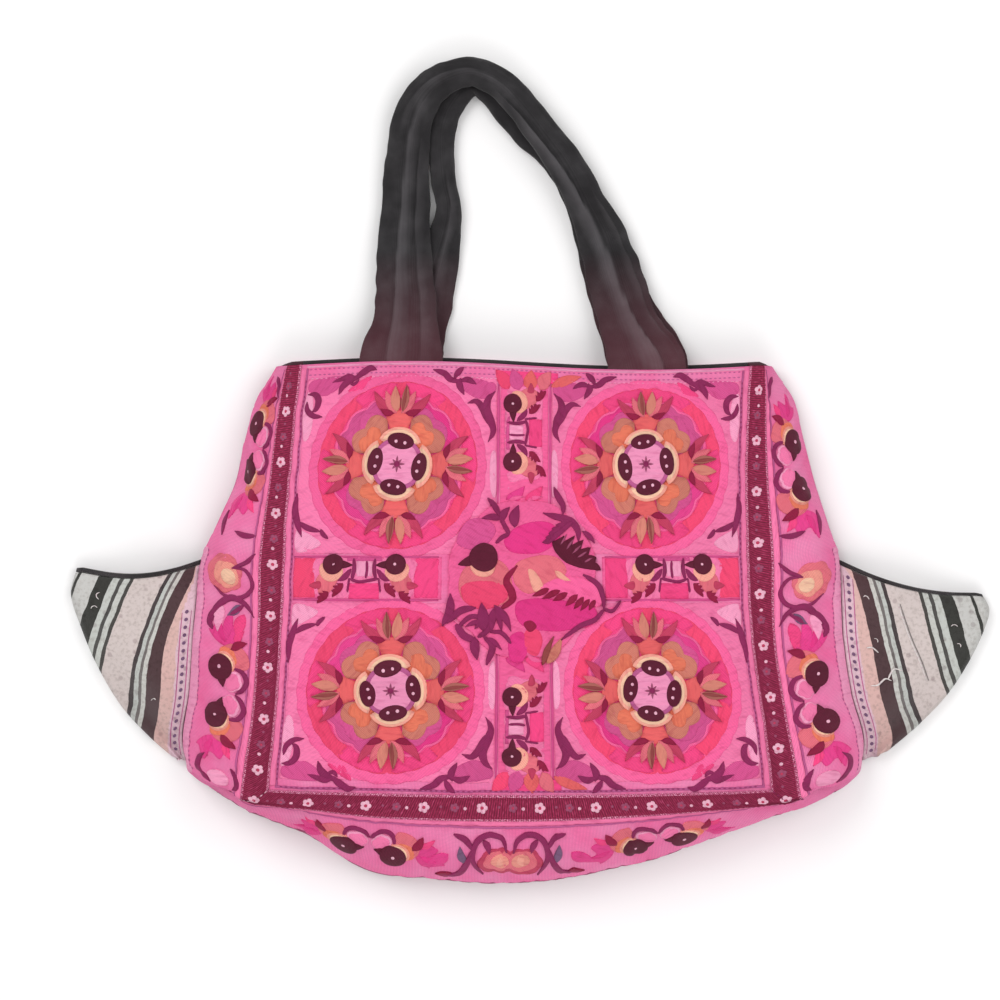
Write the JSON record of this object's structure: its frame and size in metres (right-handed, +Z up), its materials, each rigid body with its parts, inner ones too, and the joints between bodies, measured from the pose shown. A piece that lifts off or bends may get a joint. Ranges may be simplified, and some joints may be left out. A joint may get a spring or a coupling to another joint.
{
  "type": "tote bag",
  "caption": "Soft embroidered cloth tote bag lying on its back, with striped winged gussets, ribbon trim and paired soft strap handles.",
  "frame": {"origin": "on the surface that the bag lies on, under the middle of its box", "axes": "+X across the bag to its right as seen from above, +Y towards the handles, +Z up out of the embroidered front"},
  "size_m": [0.6295, 0.5639, 0.0754],
  "materials": {
    "embroidered_cloth": "hot pink satin-stitch embroidery, soft sheen",
    "back_cloth": "plain pink woven cotton, matte",
    "batik_cloth": "pale grey and black striped cotton, matte",
    "dark_binding": "black cotton tape, matte",
    "ribbon": "woven maroon ribbon, low sheen",
    "handle_cotton": "black cotton, matte"
  },
  "bodies": {
    "root": {"front_panel": "embroidered_cloth", "back_panel": "back_cloth", "gusset_left": "batik_cloth", "gusset_right": "batik_cloth", "hem_binding_left": "dark_binding", "hem_binding_right": "dark_binding", "mouth_facing": "dark_binding", "ribbon_left": "ribbon", "ribbon_right": "ribbon", "ribbon_bottom": "ribbon", "handle_front": "handle_cotton", "handle_back": "handle_cotton"}
  },
  "joints": []
}
